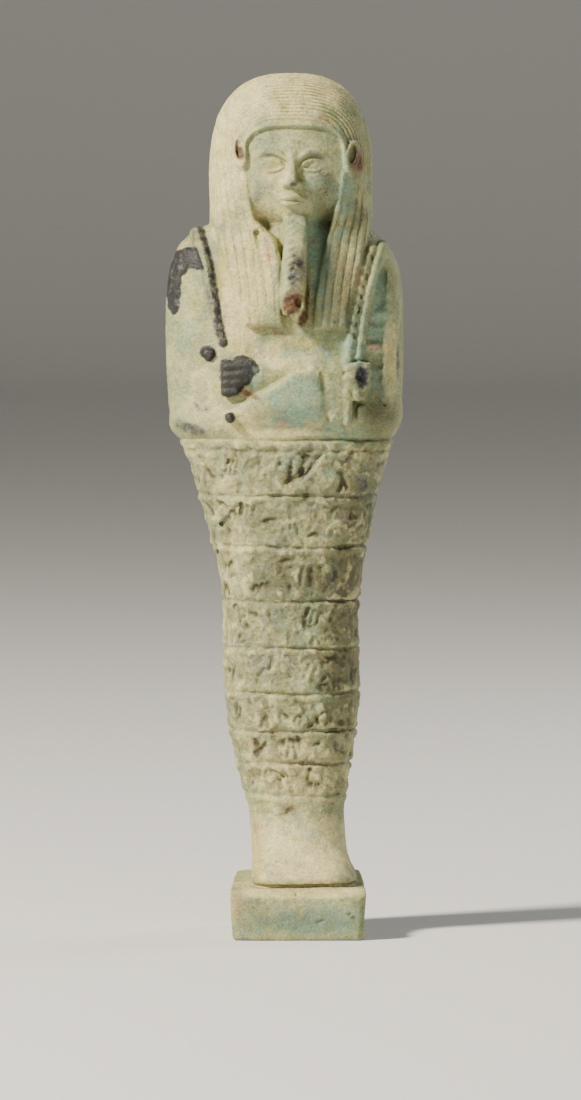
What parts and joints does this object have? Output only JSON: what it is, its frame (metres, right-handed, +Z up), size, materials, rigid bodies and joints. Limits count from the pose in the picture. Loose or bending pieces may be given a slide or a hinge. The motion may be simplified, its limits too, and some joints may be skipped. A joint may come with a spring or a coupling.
{
  "type": "ushabti figurine",
  "caption": "Mummiform funerary figurine with striped wig, plaited beard, crossed arms holding tools, ruled leg bands, back pillar and small rectangular plinth.",
  "frame": {"origin": "centre of the plinth's flat underside", "axes": "+Z up along the figure's height, -Y the way the figure looks, +X to the viewer's right"},
  "size_m": [0.0493, 0.0356, 0.18],
  "materials": {
    "faience": "worn matt glaze, pale green to cream with grey and brown staining"
  },
  "bodies": {
    "root": {"ushabti": "faience"}
  },
  "joints": []
}
